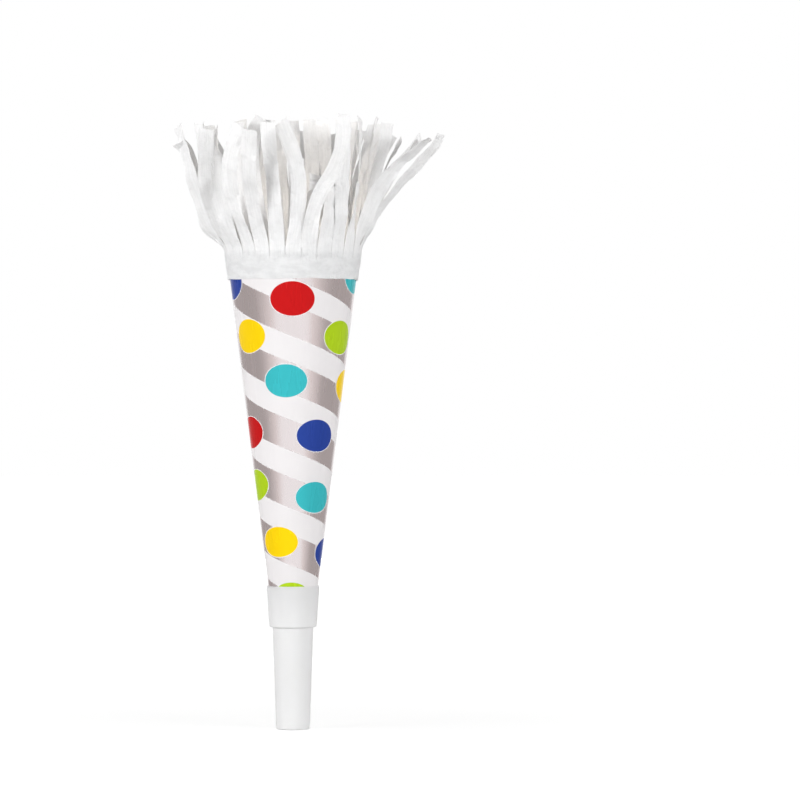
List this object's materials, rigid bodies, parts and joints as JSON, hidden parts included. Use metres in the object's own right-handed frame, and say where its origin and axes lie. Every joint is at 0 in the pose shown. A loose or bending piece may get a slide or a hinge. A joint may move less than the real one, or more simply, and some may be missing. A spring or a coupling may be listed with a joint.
{
  "type": "party horn blower",
  "caption": "Party horn: printed card cone with a cut tissue fringe round its mouth, pushed into a moulded mouthpiece that holds a beating reed.",
  "frame": {"origin": "centre of the mouthpiece's tip, where the lips close on it", "axes": "+Z along the horn from the lips to the fringe; -Y is the side the picture shows, +X to its right"},
  "size_m": [0.082, 0.0737, 0.1846],
  "materials": {
    "mouthpiece_plastic": "satin",
    "reed_plastic": "gloss",
    "reed_film": "gloss",
    "printed_card": "gloss",
    "tissue": "matte"
  },
  "bodies": {
    "horn": {"mouthpiece": "mouthpiece_plastic", "reed_holder": "reed_plastic", "reed_ring": "reed_plastic", "reed_root": "reed_film", "cone": "printed_card", "fringe_band_inner": "tissue", "fringe_band_outer": "tissue"},
    "reed_tongue": {"reed_blade": "reed_film"},
    "tuft_1": {"fringe_inner_1": "tissue", "fringe_outer_1": "tissue"},
    "tuft_2": {"fringe_inner_2": "tissue", "fringe_outer_2": "tissue"},
    "tuft_3": {"fringe_inner_3": "tissue", "fringe_outer_3": "tissue"},
    "tuft_4": {"fringe_inner_4": "tissue", "fringe_outer_4": "tissue"},
    "tuft_5": {"fringe_inner_5": "tissue", "fringe_outer_5": "tissue"},
    "tuft_6": {"fringe_inner_6": "tissue", "fringe_outer_6": "tissue"},
    "tuft_7": {"fringe_inner_7": "tissue", "fringe_outer_7": "tissue"},
    "tuft_8": {"fringe_inner_8": "tissue", "fringe_outer_8": "tissue"},
    "tuft_9": {"fringe_inner_9": "tissue", "fringe_outer_9": "tissue"}
  },
  "joints": [
    {"name": "reed_beat", "type": "hinge", "parent": "horn", "child": "reed_tongue", "pos_m": [0, -0.00112, 0.0219], "axis": [1, 0, 0], "range_deg": [-3, 4.2], "stiffness_Nm_per_rad": 0.002},
    {"name": "tuft_1_bend", "type": "hinge", "parent": "horn", "child": "tuft_1", "pos_m": [-0.00413, -0.01992, 0.1435], "axis": [0.9792, -0.2028, 0], "range_deg": [-6, 30], "stiffness_Nm_per_rad": 0.001},
    {"name": "tuft_2_bend", "type": "hinge", "parent": "horn", "child": "tuft_2", "pos_m": [0.00964, -0.01791, 0.1435], "axis": [0.8805, 0.4741, 0], "range_deg": [-6, 30], "stiffness_Nm_per_rad": 0.001},
    {"name": "tuft_3_bend", "type": "hinge", "parent": "horn", "child": "tuft_3", "pos_m": [0.0189, -0.00752, 0.1435], "axis": [0.3697, 0.9291, 0], "range_deg": [-6, 30], "stiffness_Nm_per_rad": 0.001},
    {"name": "tuft_4_bend", "type": "hinge", "parent": "horn", "child": "tuft_4", "pos_m": [0.01931, 0.00639, 0.1435], "axis": [-0.314, 0.9494, 0], "range_deg": [-6, 30], "stiffness_Nm_per_rad": 0.001},
    {"name": "tuft_5_bend", "type": "hinge", "parent": "horn", "child": "tuft_5", "pos_m": [0.01069, 0.01731, 0.1435], "axis": [-0.8508, 0.5255, 0], "range_deg": [-6, 30], "stiffness_Nm_per_rad": 0.001},
    {"name": "tuft_6_bend", "type": "hinge", "parent": "horn", "child": "tuft_6", "pos_m": [-0.00294, 0.02013, 0.1435], "axis": [-0.9895, -0.1444, 0], "range_deg": [-6, 30], "stiffness_Nm_per_rad": 0.001},
    {"name": "tuft_7_bend", "type": "hinge", "parent": "horn", "child": "tuft_7", "pos_m": [-0.01519, 0.01353, 0.1435], "axis": [-0.6652, -0.7466, 0], "range_deg": [-6, 30], "stiffness_Nm_per_rad": 0.001},
    {"name": "tuft_8_bend", "type": "hinge", "parent": "horn", "child": "tuft_8", "pos_m": [-0.02033, 0.0006, 0.1435], "axis": [-0.0297, -0.9996, 0], "range_deg": [-6, 30], "stiffness_Nm_per_rad": 0.001},
    {"name": "tuft_9_bend", "type": "hinge", "parent": "horn", "child": "tuft_9", "pos_m": [-0.01596, -0.01261, 0.1435], "axis": [0.6198, -0.7848, 0], "range_deg": [-6, 30], "stiffness_Nm_per_rad": 0.001}
  ]
}
